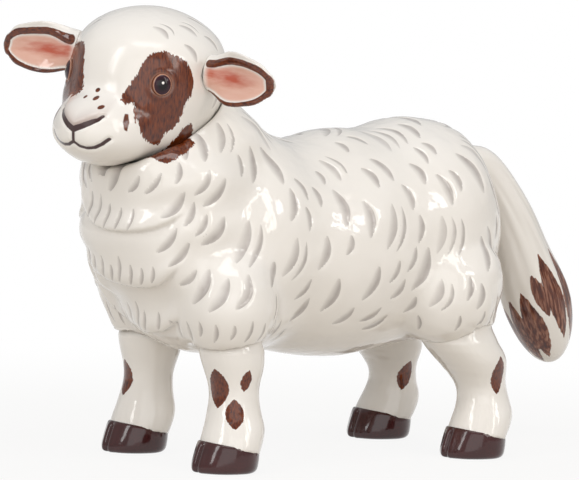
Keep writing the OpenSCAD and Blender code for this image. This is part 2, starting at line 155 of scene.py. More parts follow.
def round_chest(points):
    """Degrees round the chest, from its front to the lamb's left."""
    return np.degrees(np.arctan2(points[:, 0], chest_axis - points[:, 1]))


def seen_from_head(points):
    """Places as they lie to the head, from its centre and before its turn."""
    return (points - np.array(head_centre)) @ np.array(head_turn.to_3x3())


fleece_body = casting("fleece_skin", "fleece_body", 0.97, 26)
lumps = bpy.data.textures.new("hand_modelled_lumps", "CLOUDS")
lumps.noise_scale = 15 * mm
uneven = fleece_body.modifiers.new("uneven", "DISPLACE")
uneven.texture = lumps
uneven.texture_coords = "LOCAL"
uneven.strength = 0.8 * mm
uneven.mid_level = 0.5
bpy.ops.object.modifier_apply(modifier=uneven.name)

# The bib: three locks that sag over the chest, each with a lower hem that stands proud
points = points_of(fleece_body)
turn = round_chest(points)
on_bib = 0.12 * smooth_step(turn, -100, -80) + 0.88 * smooth_step(turn, -22, -6)
on_bib = on_bib * smooth_step(turn, 75, 50) * smooth_step(points[:, 2], 45, 56)
ease_where(fleece_body, "bib", on_bib, 130)
points, normals = points_of(fleece_body), normals_of(fleece_body)
lift = np.zeros(len(points))
for turns, heights in hems:
    hem_height = np.interp(turn, turns, heights)
    below = hem_height - points[:, 2]
    ends = smooth_step(turn, turns[0], turns[0] + 10) * smooth_step(turn, turns[-1], turns[-1] - 8)
    ends *= 0.5 + 0.9 * smooth_step(turn, -26, -6)
    fold = 0.9 * swell(below, -3, 4)
    fold -= 2 * smooth_step(below, -0.6, 0.8) * np.exp(-np.maximum(below, 0) / 5)
    lift += fold * ends * (normals[:, 2] > -0.95)
ahead = smooth_step(turn, -85, -55) * smooth_step(turn, 62, 30)
lift += ahead * 3 * swell(points[:, 2], 86, 9)
lift += ahead * smooth_step(turn, -12, -24) * 1.6 * swell(points[:, 2], 71, 5)
lift -= smooth_step(turn, -85, -55) * smooth_step(turn, 10, -15) * 2.3 * swell(points[:, 2], 56, 8)
# Back: a dip behind the withers, a fuller rump, thighs drawn in under the tail
along, topside = points[:, 1], smooth_step(normals[:, 2], 0.1, 0.7)
lift -= 2.5 * topside * swell(along, -15, 14)
lift += 1.6 * topside * swell(along, 61, 9)
hind = 0.57 * abs(normals[:, 0]) + 0.82 * normals[:, 1]
lift -= 2 * smooth_step(hind, 0.7, 0.97) * swell(points[:, 2], 61, 9) * (along > 30)
move_points(fleece_body, points + normals * lift[:, None])

# The collar is cut low under the cheeks
points = points_of(fleece_body)
local = seen_from_head(points)
mean_half_size, collar_depth, lowered = 32, 16, (0, 0.8, -2)
from_skull = (np.linalg.norm(local / skull_half_sizes, axis=1) - 1) * mean_half_size
cheek = smooth_step(abs(local[:, 0]), 6, 14) * smooth_step(local[:, 2], 2, -14)
cheek *= smooth_step(local[:, 1], 22, 6)
cut_away = np.clip(1 - from_skull / collar_depth, 0, 1) * cheek
move_points(fleece_body, points + cut_away[:, None] * lowered)


def srgb(code):
    channels = [int(code[i : i + 2], 16) / 255 for i in (1, 3, 5)]
    return [c / 12.92 if c <= 0.04045 else ((c + 0.055) / 1.055) ** 2.4 for c in channels] + [1]


def add(tree, kind, inputs, **settings):
    """Adds a shader node with its settings; an input takes a value or another node's output."""
    made = tree.nodes.new("ShaderNode" + kind)
    for name, value in settings.items():
        setattr(made, name, value)
    for socket, value in inputs.items():
        if isinstance(value, bpy.types.NodeSocket):
            tree.links.new(value, made.inputs[socket])
        else:
            made.inputs[socket].default_value = value
    return made


def start_material(name, all_over):
    """Starts a material and sets what is the same all over it."""
    material = bpy.data.materials.new(name)
    material.use_nodes = True
    shader = material.node_tree.nodes["Principled BSDF"]
    for socket, value in all_over.items():
        shader.inputs[socket].default_value = value
    return material, material.node_tree, shader


def lacquered_resin(name):
    """Off-white cast resin, brushed by hand and dipped in clear gloss lacquer: the white drifts
    a little warm and cool, and the lacquer lies in faint waves that break up the highlights."""
    material, tree, shader = start_material(name, {
        "Roughness": 0.42, "Specular IOR Level": 0.1,
        "Coat Weight": 1, "Coat Roughness": 0.08, "Coat IOR": 1.5,
    })
    spot = add(tree, "TexCoord", {}).outputs["Object"]
    drift = add(tree, "TexNoise", {"Vector": spot, "Scale": 1 / (28 * mm), "Detail": 2})
    white = add(tree, "Mix", {
        0: drift.outputs["Fac"], 6: srgb("#e9e4dd"), 7: srgb("#f2eee9"),
    }, data_type="RGBA").outputs[2]
    waves = add(tree, "TexNoise", {"Vector": spot, "Scale": 1 / (7 * mm), "Detail": 2})
    bump = add(tree, "Bump", {"Height": waves.outputs["Fac"], "Strength": 0.6, "Distance": 0.5 * mm})
    tree.links.new(bump.outputs["Normal"], shader.inputs["Coat Normal"])
    return material, tree, shader, spot, white


def from_skin(tree, name):
    return add(tree, "Attribute", {}, attribute_name=name).outputs["Fac"]


def with_cut_shade(tree, spot, white):
    """Grey painted into the gouge cuts as their shade: darkest against the wall, gone where the cut runs
    out.
    """
    edge = add(tree, "MapRange", {
        "Value": from_skin(tree, "wall"), "From Min": -0.25, "From Max": 0.2,
    }, interpolation_type="SMOOTHSTEP").outputs[0]
    cloud = add(tree, "TexNoise", {"Vector": spot, "Scale": 1 / (5 * mm), "Detail": 3}).outputs["Fac"]
    depth = add(tree, "MapRange", {
        "Value": from_skin(tree, "cut_shade"), "From Min": 0.02, "From Max": 0.75, "To Max": 0.9,
    }).outputs[0]
    shade_share = add(tree, "Math", {0: edge, 1: depth}, operation="MULTIPLY").outputs[0]
    strength = add(tree, "MapRange", {"Value": cloud, "To Min": 0.5, "To Max": 1.1}).outputs[0]
    shade_share = add(tree, "Math", {0: shade_share, 1: strength}, operation="MULTIPLY", use_clamp=True).outputs[0]
    # The grey of the painted shade, laid over the white by its share
    return add(tree, "Mix", {0: shade_share, 6: white, 7: srgb("#a19894")}, data_type="RGBA").outputs[2]


# Resin: glossy off-white, with soft grey crescents of painted shade in the cuts
fleece_resin, tree, shader, spot, white = lacquered_resin("resin_fleece_painted_cut_shade")
tree.links.new(with_cut_shade(tree, spot, white), shader.inputs["Base Color"])
fleece_body.data.materials.append(fleece_resin)
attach(fleece_body, "root")
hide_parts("fleece_body")

# Legs: four resin castings, waisted above the hoof, each with a spigot that enters the fleece.
# They are left smooth, with a few brown leaf-shaped spots brushed on before the lacquer.
leg_spots = {
    # middle, half height, half width, degrees the top leans to the right
    "front_left_leg": [
        ((34.1, -69.8, 33.7), 8, 4.7, -4), ((41.8, -61.4, 37), 4.5, 2.3, 12),
        ((41.2, -66.2, 23.6), 6.2, 3.8, -3),
    ],
    "front_right_leg": [((-32.3, -69.9, 30.4), 7.6, 4.2, 0)],
    "rear_left_leg": [((41.2, 63.6, 34.3), 8, 3.3, 0)],
    "rear_right_leg": [((-20.4, 62.2, 27.3), 6.6, 3.2, 14)],
}


def hug(piece, solid, reach, top=1000, climb=0):
    """Thins the lip of a piece, up to a height, until it lies against its neighbour, and lets it
    climb a little way up on it."""
    let_go, film = 6, 0.06  # how far under the height the lip lets go, and the air under it
    points, about = points_of(piece), points_of(solid)
    least, most = about.min(axis=0) - reach, about.max(axis=0) + reach
    close = np.all((points > least) & (points < most), axis=1)
    lip = piece.vertex_groups.new(name="lip_at_" + solid.name)
    bpy.context.view_layer.update()
    side = BVHTree.FromObject(solid, bpy.context.evaluated_depsgraph_get())
    for index in np.flatnonzero(close):
        place = Vector(points[index]) * mm
        on_solid, outward, _, far = side.find_nearest(place)
        gap = far / mm if (place - on_solid).dot(outward) > 0 else 0
        if gap < reach and on_solid.z < top * mm:
            share = gap / reach
            grip = min((top - on_solid.z / mm) / let_go, 1)
            away = place - on_solid if gap else outward
            if climb:
                upward = Vector((0, 0, 1)) - outward * outward.z
                higher = on_solid + upward * climb * mm * (1 - share) ** 2
                on_solid, outward, _, _ = side.find_nearest(higher)
            lean = outward.lerp(away.normalized(), share).normalized()
            stand_off = film + gap * share * share * (3 - 2 * share)
            laid = (on_solid + lean * mm * stand_off) / mm
            points[index] += grip * (np.array(laid) - points[index])
            lip.add([int(index)], grip * (1 - share), "REPLACE")
    move_points(piece, points)
    ease(piece, 0.5, 3, lip.name)


def brown_paint(tree, spot, across, along, lean=0):
    """Brown paint drawn out by a bristle brush: darker and lighter hairs along one way, upright
    or leaning back by degrees. Real hairs are finer, and wouldn't show."""
    lie = add(tree, "Mapping", {
        "Vector": spot, "Rotation": [radians(lean), 0, 0], "Scale": [across, across, along],
    }, vector_type="TEXTURE")
    hairs = add(tree, "TexNoise", {"Vector": lie.outputs[0], "Scale": 1 / mm, "Detail": 3}).outputs["Fac"]
    tone = add(tree, "MapRange", {"Value": hairs, "From Min": 0.3, "From Max": 0.7}).outputs[0]
    return hairs, add(tree, "Mix", {
        0: tone, 6: srgb("#3c0d00"), 7: srgb("#78360c"),
    }, data_type="RGBA").outputs[2]


def painted(tree, distance, hairs, ragged, colour, under):
    """Lays paint where a kept distance is positive, with an edge as ragged as the bristles."""
    stray = add(tree, "MapRange", {"Value": hairs, "To Min": -ragged, "To Max": ragged}).outputs[0]
    reach = add(tree, "Math", {0: distance, 1: stray}).outputs[0]
    cover = add(tree, "MapRange", {"Value": reach, "From Min": -0.12, "From Max": 0.12}).outputs[0]
    return add(tree, "Mix", {0: cover, 6: under, 7: colour}, data_type="RGBA").outputs[2]


# Painted resin: plain glossy white, with brown leaves whose edges show the brush
leg_resin, tree, shader, spot, white = lacquered_resin("painted_resin_legs")
hairs, brown = brown_paint(tree, spot, 0.7, 1.6)
skin_colour = painted(tree, from_skin(tree, "spot"), hairs, 0.7, brown, white)
tree.links.new(skin_colour, shader.inputs["Base Color"])
for node, spots in leg_spots.items():
    leg = casting(node + "_skin", node, 0.7, 14)
    points, normals = points_of(leg), normals_of(leg)
    nearest = np.full(len(points), -5.0)
    for middle, half_height, half_width, tilt in spots:
        outward = normals[np.argmin(np.linalg.norm(points - middle, axis=1))]
        level = np.cross((0, 0, 1), outward)
        level = level / np.linalg.norm(level)
        upright = np.cross(outward, level)
        across = cos(radians(tilt)) * level - sin(radians(tilt)) * upright
        offset = points - middle
        rise = (offset @ np.cross(outward, across)) / half_height
        leaf = half_width * (1 - abs(rise) ** 2.3) - abs(offset @ across)
        nearest = np.where(abs(offset @ outward) < 5, np.maximum(nearest, leaf), nearest)
    keep_on_skin(leg, "spot", nearest)
    rear = smooth_step(normals[:, 1], -0.4, 0.8)
    ankle = 0.7 * swell(np.maximum(points[:, 2] - 13, 0), 0, 5)
    ankle += 0.9 * rear * swell(points[:, 2], 17, 5)
    waist = (0.1 + 0.9 * rear) * swell(points[:, 2], 33, 7)
    front = smooth_step(-normals[:, 1], -0.2, 0.9)
    waist += 1.8 * front * swell(points[:, 2], 15, 7)
    if node.startswith("rear"):
        waist -= (1.4 + 2.2 * front) * swell(points[:, 2], 38, 8)
    if node == "rear_right_leg":
        waist += 1.3 * rear * swell(points[:, 2], 25, 10)
    tucked = 2.2 * smooth_step(points[:, 2], 47, 55)
    points = points + normals * (1, 1, 0) * (ankle - waist - tucked)[:, None]
    heel = smooth_step(normals[:, 1], -0.1, 0.9) * smooth_step(points[:, 2], 21, 9)
    points[:, 1] -= (2.4 if node.startswith("rear") else 1.6) * heel
    points[:, 2] -= 1.4 * smooth_step(points[:, 2], 18, 11)
    move_points(leg, points)
    if node.startswith("rear"):
        hug(fleece_body, leg, 7, 57)
    leg.data.materials.append(leg_resin)
    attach(leg, "root")
    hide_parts(node)

# Hooves: four dark brown resin castings with a proud top edge and a cleft toe, highest in front.
# They are dyed through and dipped in the same gloss lacquer, and stand flat on the ground.
hoof_half_width, hoof_toe, hoof_heel, hoof_height, hoof_slope = 13.2, 12.6, 12.2, 10.1, 11.5
toe_forward, heel_forward = 4, 1.8
hoof_middles = {
    "front_left_hoof": (33, -62.8), "front_right_hoof": (-33, -62.8),
    "rear_left_hoof": (33, 60.2), "rear_right_hoof": (-33, 60.2),
}
bpy.ops.object.select_all(action="DESELECT")
bpy.ops.mesh.primitive_cylinder_add(
    vertices=160, radius=1, depth=1, location=(0, 0, 0.5), end_fill_type="TRIFAN"
)
hoof = bpy.context.object
bpy.ops.object.transform_apply(location=True, rotation=True, scale=True)
bpy.ops.object.mode_set(mode="EDIT")
for level in (0.02, 0.06, 0.12, 0.2, 0.32, 0.46, 0.6, 0.74, 0.84, 0.91, 0.96, 0.99):
    bpy.ops.mesh.select_all(action="SELECT")
    bpy.ops.mesh.bisect(plane_co=(0, 0, level), plane_no=(0, 0, 1))
bpy.ops.object.mode_set(mode="OBJECT")
unit = points_of(hoof) * mm
turn = np.arctan2(unit[:, 1], unit[:, 0])
across, height = np.hypot(unit[:, 0], unit[:, 1]), unit[:, 2]
off_toe = np.degrees(np.angle(np.exp(1j * (turn + pi / 2))))
groove = 1.3 * swell(off_toe, 0, 4) - 0.45 * swell(abs(off_toe), 11, 6)
inset = np.interp(height, [0, 0.02, 0.06, 0.12, 0.2, 0.32, 0.6, 0.84, 0.96, 1], [
    2.4, 1.6, 0.9, 0.45, 0.15, 0, 0, 0.15, 0.35, 0.8,
])
x = across * (hoof_half_width - inset) * np.cos(turn)
y = across * (np.where(np.sin(turn) < 0, hoof_toe, hoof_heel) - inset) * np.sin(turn)
y += groove * across**6 * smooth_step(height, 1, 0.82)
forward = np.where(y < 0, toe_forward, heel_forward) * abs(np.sin(turn)) * across**2
z = height * (hoof_height - y * np.tan(radians(hoof_slope)))
move_points(hoof, np.column_stack([x, y - (1 - height) * forward, z]))
# Dyed resin under lacquer: near-black with a red cast, and highlights that waver a little
hoof_resin, tree, shader = start_material("dyed_resin_hoof", {
    "Roughness": 0.35, "Specular IOR Level": 0.1, "Coat Weight": 1, "Coat Roughness": 0.11,
})
spot = add(tree, "TexCoord", {}).outputs["Object"]
drift = add(tree, "TexNoise", {"Vector": spot, "Scale": 1 / (6 * mm), "Detail": 3}).outputs["Fac"]
dye = add(tree, "Mix", {0: drift, 6: srgb("#301010"), 7: srgb("#481b1b")}, data_type="RGBA").outputs[2]
tree.links.new(dye, shader.inputs["Base Color"])
waves = add(tree, "TexNoise", {"Vector": spot, "Scale": 1 / (2.5 * mm), "Detail": 2}).outputs["Fac"]
bump = add(tree, "Bump", {"Height": waves, "Strength": 0.5, "Distance": 0.12 * mm}).outputs["Normal"]
tree.links.new(bump, shader.inputs["Coat Normal"])
select_only(hoof)
bpy.ops.object.shade_smooth_by_angle(angle=radians(50))
hoof.data.materials.append(hoof_resin)
for node, (across, along) in hoof_middles.items():
    piece = hoof.copy()
    piece.data = hoof.data.copy()
    piece.name = node + "_skin"
    bpy.context.collection.objects.link(piece)
    move_points(piece, points_of(piece) + (across, along, 0))
    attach(piece, "root")
    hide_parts(node)
bpy.data.objects.remove(hoof)

# Rods and dowel: the hidden fixings, four drawn steel rods through hoof, leg and body and a
# turned beech dowel between body and head. They stay as they are, inside the castings.

# Drawn steel: bright grey, with fine lines along the rod that spread its shine
steel, tree, shader = start_material("drawn_steel", {"Metallic": 1})
spot = add(tree, "TexCoord", {}).outputs["Object"]
draw = add(tree, "Mapping", {"Vector": spot, "Scale": [1, 1, 0.04]}).outputs[0]
lines = add(tree, "TexNoise", {"Vector": draw, "Scale": 1 / (0.3 * mm), "Detail": 2}).outputs["Fac"]
grey = add(tree, "Mix", {0: lines, 6: srgb("#8d9094"), 7: srgb("#b4b7ba")}, data_type="RGBA").outputs[2]
tree.links.new(grey, shader.inputs["Base Color"])
sheen = add(tree, "MapRange", {"Value": lines, "To Min": 0.25, "To Max": 0.45}).outputs[0]
tree.links.new(sheen, shader.inputs["Roughness"])
# Turned beech: matt pale tan, with short darker flecks along the grain
beech, tree, shader = start_material("turned_beech", {"Roughness": 0.6})
spot = add(tree, "TexCoord", {}).outputs["Object"]
grain = add(tree, "Mapping", {"Vector": spot, "Scale": [1, 1, 0.12]}).outputs[0]
flecks = add(tree, "TexNoise", {"Vector": grain, "Scale": 1 / (1.2 * mm), "Detail": 4}).outputs["Fac"]
tan = add(tree, "Mix", {0: flecks, 6: srgb("#b98f5c"), 7: srgb("#d9b98a")}, data_type="RGBA").outputs[2]
tree.links.new(tan, shader.inputs["Base Color"])
for node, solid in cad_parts.items():
    if node.endswith("_rod"):
        solid.material_slots[0].material = steel
    if node == "neck_dowel":
        solid.material_slots[0].material = beech

# Head: one smooth resin casting of skull, cheeks, muzzle and wool cap, seated in the collar.
# Patches, freckles, nose and mouth are brushed on; nose and mouth lines are also pressed in.
# Outlines on the sides are (degrees round from the nose, degrees up); the muzzle's are (x, z).
head_frame = Matrix.Translation(head_centre * mm) @ head_turn
eye_patch = [
    (47, 27), (56, 24), (62, 22), (66, 17), (69, 11), (71, 4), (69, -3), (66, -8), (64, -15), (62, -23),
    (58, -27), (51, -30), (48, -37), (42, -35), (36, -30), (32, -23), (28, -16), (26, -10), (22, -11),
    (18, -8), (19, -4), (23, 2), (27, 10), (30, 17), (33, 22), (39, 26),
]
cheek_stroke = [
    (75, -23), (81, -29), (86, -37), (87, -45), (80, -50), (71, -55), (60, -58), (54, -53), (54, -46),
    (58, -40), (64, -33), (69, -27),
]
cheek_fleck = [(22.6, -15), (24.6, -15.5), (25.8, -19), (25.4, -22.8), (23.9, -22), (22.5, -18.5)]
freckles = [((0.8, -2.7), 1.0), ((2.8, -5.5), 1.0), ((7.2, -8.5), 1.0), ((-1.9, -5.6), 0.7)]
nose_line = [
    (-9.6, -11.2), (-8, -12.8), (-5.8, -14.2), (-2.8, -16.2), (0.2, -17.7),
    (3.4, -16.2), (6.4, -14.4), (8.7, -13), (9.5, -11.6),
]
lip_line = [(0.2, -17.7), (0.4, -22.7)]
mouth_line = [
    (-12.8, -20.2), (-10.6, -22.6), (-8, -24.2), (-5.2, -24.8), (-2.4, -24.4), (0.4, -22.7),
    (2.8, -24.4), (5.6, -24.9), (8.4, -24.3), (11, -22.6), (13.2, -20.2),
]
eye_turn, eye_rise, eye_far, plug_radius = 45, 3.5, 32.7, 12
cap_marks = [
    # degrees round from the nose, degrees up, strokes
    (54, 48, 2), (66, 38, 1), (71, 28, 1), (90, 51, 2), (104, 35, 1), (124, 54, 1), (138, 34, 2),
    (128, 12, 1), (154, 52, 1), (160, 20, 1), (99, -6, 1), (107, -22, 1), (118, -4, 1), (127, -22, 1),
    (142, -8, 1), (158, -14, 1),
]
cap_cut_half_length, cap_cut_width, cap_cut_depth = 4.6, 3.4, 0.45
face_radius = 34


def ball(centre, half_sizes):
    """A ball pressed to three half sizes."""
    bpy.ops.object.select_all(action="DESELECT")
    bpy.ops.mesh.primitive_uv_sphere_add(segments=64, ring_count=32, radius=1)
    made = bpy.context.object
    made.scale = Vector(half_sizes) * mm
    made.location = Vector(centre) * mm
    bpy.ops.object.transform_apply(location=True, rotation=True, scale=True)
    return made


def from_line(line, u, v):
    """Distance from each place (u, v) to a line of points."""
    nearest = np.full(len(u), 1e9)
    for (u0, v0), (u1, v1) in zip(line[:-1], line[1:]):
        run, rise = u1 - u0, v1 - v0
        share = np.clip(((u - u0) * run + (v - v0) * rise) / (run * run + rise * rise), 0, 1)
        nearest = np.minimum(nearest, np.hypot(u - u0 - share * run, v - v0 - share * rise))
    return nearest


def into_outline(outline, u, v):
    """Distance from each place (u, v) into a closed outline, negative outside it."""
    ring = outline + outline[:1]
    crossings = np.zeros(len(u), dtype=int)
    for (u0, v0), (u1, v1) in zip(ring[:-1], ring[1:]):
        spans = (v0 > v) != (v1 > v)
        crossings += spans & (u < u0 + (v - v0) * (u1 - u0) / (v1 - v0 if v1 != v0 else 1e-9))
    return from_line(ring, u, v) * np.where(crossings % 2 == 1, 1, -1)


def laid_flat(round_degrees, up_degrees):
    """Side outlines laid out flat in millimetres on the head's mean radius."""
    up = np.radians(up_degrees)
    return face_radius * np.radians(round_degrees) * np.cos(up), face_radius * up


def carve(piece, cuts):
    """Presses gouge cuts into a skin: each runs shallow to deep and stops at a curved wall.
    A cut is its middle, the outward way, the way its wall bulges, half length, width, depth and
    how many strokes lie one behind the other. One that would meet an earlier cut is left out."""
    points, normals = points_of(piece), normals_of(piece)
    lift = np.zeros(len(points))
    wall = np.full(len(points), -5.0)
    cut_shade = np.zeros(len(points))
    for middle, outward, bulge, half_length, width, depth, strokes in cuts:
        offset = points - middle
        share = offset @ np.cross(outward, bulge) / half_length
        beside = offset @ bulge
        near = np.flatnonzero(
            (abs(share) < 1 + 1 / half_length) & (abs(beside) < width * strokes + 5)
            & (abs(offset @ outward) < 4.5) & (normals @ outward > 0.4)
        )
        taper = np.maximum(1 - share[near] ** 2, 0)
        inside = 0.75 * width * (taper - 0.5) - beside[near]
        stroke = np.clip(np.floor((inside + 1) / width), 0, strokes - 1)
        inside = inside - width * stroke
        across = np.where(stroke < strokes - 1, width - 2.1, width) * taper**0.7 + 0.01
        about = (inside > -2) & (inside < across + 1.1)
        if np.any(wall[near[about]] > -5):
            continue
        zone = (taper > 0) & (inside > -1) & (inside < across + 0.1)
        near, taper, inside = near[zone], taper[zone], inside[zone]
        across, stroke = across[zone], stroke[zone]
        ramp = np.clip(1 - inside / across, 0, 1)
        cut = 1 / (1 + np.exp(-inside / 0.3))
        fainter = 1 - 0.2 * stroke
        lift[near] -= depth * fainter * taper**0.5 * ramp**1.4 * cut
        lift[near] += 0.25 * depth * taper * np.exp(np.minimum(inside, 0) / 0.7) * (1 - cut)
        wall[near] = inside
        # How dark the grey painted shade in the cut is: most against the wall, less towards its ends
        cut_shade[near] = fainter * ramp**0.95 * taper**0.3
    move_points(piece, points + normals * lift[:, None])
    keep_on_skin(piece, "wall", wall)
    keep_on_skin(piece, "cut_shade", cut_shade)


def wool_way(outward, side, lean):
    """The way a cut's wall bulges: round the body to the rear, leaning down by degrees."""
    level = side * np.cross((0, 0, 1), outward)
    level = level / np.linalg.norm(level)
    upward = np.cross(outward, level) * side
    return cos(radians(lean)) * level - sin(radians(lean)) * upward


def on_skin(piece, centre, way):
    """Place and outward way where a line towards a centre meets a skin from outside."""
    way = Vector(way).normalized()
    _, place, outward, _ = piece.ray_cast((Vector(centre) + way * 100) * mm, -way)
    return np.array(place) / mm, np.array(outward)


def way_round(turn, rise=0):
    """The way that points degrees round from the front to the lamb's left, and degrees up."""
    turn, rise = radians(turn), radians(rise)
    return Vector((sin(turn) * cos(rise), -cos(turn) * cos(rise), sin(rise)))


eye_ways = [way_round(side * eye_turn, eye_rise) for side in (1, -1)]
plugs = []
for way in eye_ways:
    plug = ball(way * (eye_far - plug_radius - 0.5), [plug_radius] * 3)
    plug.data.transform(head_frame)
    plugs.append(plug)
head = casting("head_skin", "head", 0.52, 150, plugs)
head.data.transform(head_frame.inverted())
points = points_of(head)
# The jowls run smoothly into the muzzle; the chin, the brow and the far temple are dressed back
on_jowl = smooth_step(abs(points[:, 0]), 5, 12) * smooth_step(points[:, 1], -4, -14)
on_jowl *= smooth_step(points[:, 2], 14, 4)
ease_where(head, "jowl", on_jowl, 500)
points = points_of(head)
chin = smooth_step(points[:, 2], -20, -33) * smooth_step(points[:, 1], 2, -16)
points[:, 2] += 2.2 * chin - 1.6 * smooth_step(points[:, 2], 8, 30)
broad = 1.4 * swell(points[:, 2], 19, 9)
points[:, :2] *= 1 + (broad / np.maximum(np.hypot(points[:, 0], points[:, 1]), 10))[:, None]
far_temple = smooth_step(-points[:, 0], 6, 22) * smooth_step(points[:, 1], -2, -13)
far_temple *= smooth_step(points[:, 1], -36, -27)
from_brow = smooth_step(points[:, 2], 32, 20)
points[:, 0] += 2.6 * far_temple * smooth_step(points[:, 2], -10, 2) * from_brow
move_points(head, points)
# Where the paint lies: distances into the patches, dots and lines, kept on the skin
normals = normals_of(head)
distance = np.linalg.norm(points, axis=1)
round_nose = np.degrees(np.arctan2(points[:, 0], -points[:, 1]))
upward = np.degrees(np.arcsin(points[:, 2] / distance))
nearer = np.where(points[:, 0] < 0, np.interp(upward, [-30, 0, 25], [3, 8, 13]), 0)
side_u, side_v = laid_flat(abs(round_nose) + nearer, upward)
front = points[:, 1] < -15
x, z = points[:, 0], points[:, 2]
marks = []
for outline in (eye_patch, cheek_stroke, cheek_fleck):
    flat_outline = [tuple(float(n) for n in laid_flat(*corner)) for corner in outline]
    marks.append(into_outline(flat_outline, side_u, side_v))
patch, dots = np.maximum(np.maximum(marks[0], marks[1]), -9), marks[2]
for (u, v), radius in freckles:
    dots = np.where(front, np.maximum(dots, radius - np.hypot(x - u, (z - v) * 1.15)), dots)
nose_half_width = np.interp(abs(x), [0, 3, 7, 9.5], [1.2, 1.15, 1.05, 0.6])
lip_half_width, mouth_half_width = 0.65, 0.62
lines = nose_half_width - from_line(nose_line, x, z)
lines = np.maximum(lines, lip_half_width - from_line(lip_line, x, z))
lines = np.maximum(lines, mouth_half_width - from_line(mouth_line, x, z))
lines = np.where(front, lines, -9)
nose_top = np.interp(x, [p[0] for p in nose_line], [p[1] for p in nose_line])
above = np.where(front & (abs(x) < 11), z - nose_top, -9)
pad = np.clip(1 - (x / 10) ** 2, 0, 1) * swell(above, 2.6, 2.6) * (above > -6)
blush = np.clip(1 - (x / 11) ** 4, 0, 1) * np.exp(-np.maximum(above - 0.4, 0) / 3) * (above > -0.5)
from_eye = np.full(len(points), 99.0)
for way in eye_ways:
    ahead = points @ np.array(way)
    off_axis = np.linalg.norm(points - ahead[:, None] * np.array(way), axis=1)
    from_eye = np.where(ahead > 0, np.minimum(from_eye, off_axis), from_eye)
lift = 0.9 * pad - 0.5 * swell(np.maximum(-lines, 0), 0, 0.5) * front
lift += 0.3 * swell(from_eye, 5.6, 0.9)
move_points(head, points + normals * lift[:, None])
cap_cuts = []
bpy.context.view_layer.update()
for turn, rise, strokes in cap_marks:
    for side in (1, -1):
        place, outward = on_skin(head, (0, 0, 0), way_round(side * turn, rise))
        bulge = wool_way(outward, side, -30 if rise > 0 else 10)
        cap_cuts.append((
            place, outward, bulge, cap_cut_half_length, cap_cut_width, cap_cut_depth, strokes,
        ))
carve(head, cap_cuts)
kept = {"patch": patch, "dots": dots, "lines": lines, "blush": blush, "from_eye": from_eye}
for name, values in kept.items():
    keep_on_skin(head, name, values)
eye_seats = [on_skin(head, (0, 0, 0), way)[0] for way in eye_ways]
head.data.transform(head_frame)
hug(fleece_body, head, 18, climb=11)
# Painted resin: a softer shine than the body's, brown streaks of the brush, dark pressed lines
head_resin, tree, shader, spot, white = lacquered_resin("painted_resin_head")
shader.inputs["Coat Roughness"].default_value = 0.17
hairs, brown = brown_paint(tree, spot, 0.75, 3)
# Grey painted shade in the cuts of the wool cap
skin_colour = with_cut_shade(tree, spot, white)
soft = add(tree, "Math", {
    0: from_skin(tree, "blush"), 1: 0.85,
}, operation="MULTIPLY", use_clamp=True).outputs[0]
skin_colour = add(tree, "Mix", {0: soft, 6: skin_colour, 7: srgb("#8a6154")}, data_type="RGBA").outputs[2]
skin_colour = painted(tree, from_skin(tree, "patch"), hairs, 1.7, brown, skin_colour)
skin_colour = painted(tree, from_skin(tree, "dots"), hairs, 0.15, brown, skin_colour)
ring = add(tree, "MapRange", {
    "Value": from_skin(tree, "from_eye"), "From Min": 4.4, "From Max": 5.4, "To Min": 0.3, "To Max": 0,
}).outputs[0]
skin_colour = add(tree, "Mix", {0: ring, 6: skin_colour, 7: srgb("#c79a84")}, data_type="RGBA").outputs[2]
skin_colour = painted(tree, from_skin(tree, "lines"), hairs, 0.1, srgb("#3a1d1c"), skin_colour)
tree.links.new(skin_colour, shader.inputs["Base Color"])
head.data.materials.append(head_resin)
# The cheek stroke runs over the seam and out on the collar; its line there is (y, z)
collar_stroke = [(-21.3, -27.3), (-16, -23.4), (-8.5, -19.8)]
local = seen_from_head(points_of(fleece_body))
half_width = np.interp(local[:, 1], [-22.5, -20, -14, -8], [0.9, 1.7, 2.1, 1.6])
on_collar = half_width - from_line(collar_stroke, local[:, 1], local[:, 2])
keep_on_skin(fleece_body, "patch", np.where(abs(abs(local[:, 0]) - 26) < 9, on_collar, -9))
tree = fleece_resin.node_tree
shader = tree.nodes["Principled BSDF"]
spot = add(tree, "TexCoord", {}).outputs["Object"]
hairs, brown = brown_paint(tree, spot, 0.75, 3)
# The fleece's colour so far: white with grey painted shade in the cuts
with_shade = shader.inputs["Base Color"].links[0].from_socket
skin_colour = painted(tree, from_skin(tree, "patch"), hairs, 0.8, brown, with_shade)
tree.links.new(skin_colour, shader.inputs["Base Color"])
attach(head, "root")
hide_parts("head")

# Eyes: two domed beads of dyed resin, cast and polished, each glued by a stem in its socket.
# A fine pale ring is painted round the dome, with a lid line outside it, and a white dot is painted on as
# its highlight.
bead_half_sizes, bead_stem, bead_sunk = (4.2, 4.5, 2.2), 2, 0.2
# Polished resin: near-black, opening to maroon at the edge, with a painted white highlight dot
bead_resin, tree, shader = start_material("polished_resin_bead", {
    "Roughness": 0.25, "Specular IOR Level": 0.1, "Coat Weight": 0.5, "Coat Roughness": 0.06,
})
spread = from_skin(tree, "off_axis")
depth = add(tree, "MapRange", {"Value": spread, "From Min": 1.4, "From Max": 3.4}).outputs[0]
maroon = add(tree, "Mix", {0: depth, 6: srgb("#12070b"), 7: srgb("#3a1624")}, data_type="RGBA").outputs[2]
rim = add(tree, "MapRange", {"Value": spread, "From Min": 3.3, "From Max": 3.45}).outputs[0]
ringed = add(tree, "Mix", {0: rim, 6: maroon, 7: srgb("#b2836c")}, data_type="RGBA").outputs[2]
lid = add(tree, "MapRange", {"Value": spread, "From Min": 3.65, "From Max": 3.85}).outputs[0]
ringed = add(tree, "Mix", {0: lid, 6: ringed, 7: srgb("#6a3a24")}, data_type="RGBA").outputs[2]
